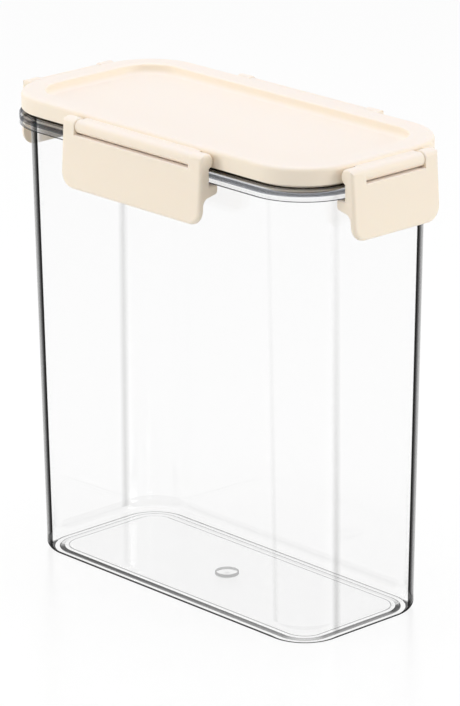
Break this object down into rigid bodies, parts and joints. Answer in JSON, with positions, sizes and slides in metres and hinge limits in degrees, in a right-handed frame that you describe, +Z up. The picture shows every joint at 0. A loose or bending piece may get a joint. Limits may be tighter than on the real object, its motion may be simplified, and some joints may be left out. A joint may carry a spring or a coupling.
{
  "type": "clear cereal keeper with snap-lock lid",
  "caption": "Tall clear dry-food keeper with a rounded rectangular body and a cream lid held by swinging snap latches on all sides.",
  "frame": {"origin": "middle of the footprint, on the surface that the keeper stands on", "axes": "+Z up, X along the long side, the front faces -Y"},
  "size_m": [0.2428, 0.1268, 0.2443],
  "materials": {
    "clear_body": "clear polished plastic",
    "cream_lid": "satin moulded cream plastic",
    "seal": "soft translucent white silicone",
    "cream_latch": "satin moulded cream plastic"
  },
  "bodies": {
    "container": {"container_body": "clear_body"},
    "lid": {"lid": "cream_lid", "lid_seal": "seal"},
    "front_latch": {"front_latch": "cream_latch"},
    "back_latch": {"back_latch": "cream_latch"},
    "left_latch": {"left_latch": "cream_latch"},
    "right_latch": {"right_latch": "cream_latch"}
  },
  "joints": [
    {"name": "lid_lift", "type": "slide", "parent": "container", "child": "lid", "axis": [0, 0, 1], "range_m": [0, 0.12]},
    {"name": "front_latch_hinge", "type": "hinge", "parent": "lid", "child": "front_latch", "pos_m": [0, -0.0576, 0.2391], "axis": [-1, 0, 0], "range_deg": [0, 170]},
    {"name": "back_latch_hinge", "type": "hinge", "parent": "lid", "child": "back_latch", "pos_m": [0, 0.0576, 0.2391], "axis": [1, 0, 0], "range_deg": [0, 170]},
    {"name": "left_latch_hinge", "type": "hinge", "parent": "lid", "child": "left_latch", "pos_m": [-0.1156, 0, 0.2391], "axis": [0, 1, 0], "range_deg": [0, 170]},
    {"name": "right_latch_hinge", "type": "hinge", "parent": "lid", "child": "right_latch", "pos_m": [0.1156, 0, 0.2391], "axis": [0, -1, 0], "range_deg": [0, 170]}
  ]
}
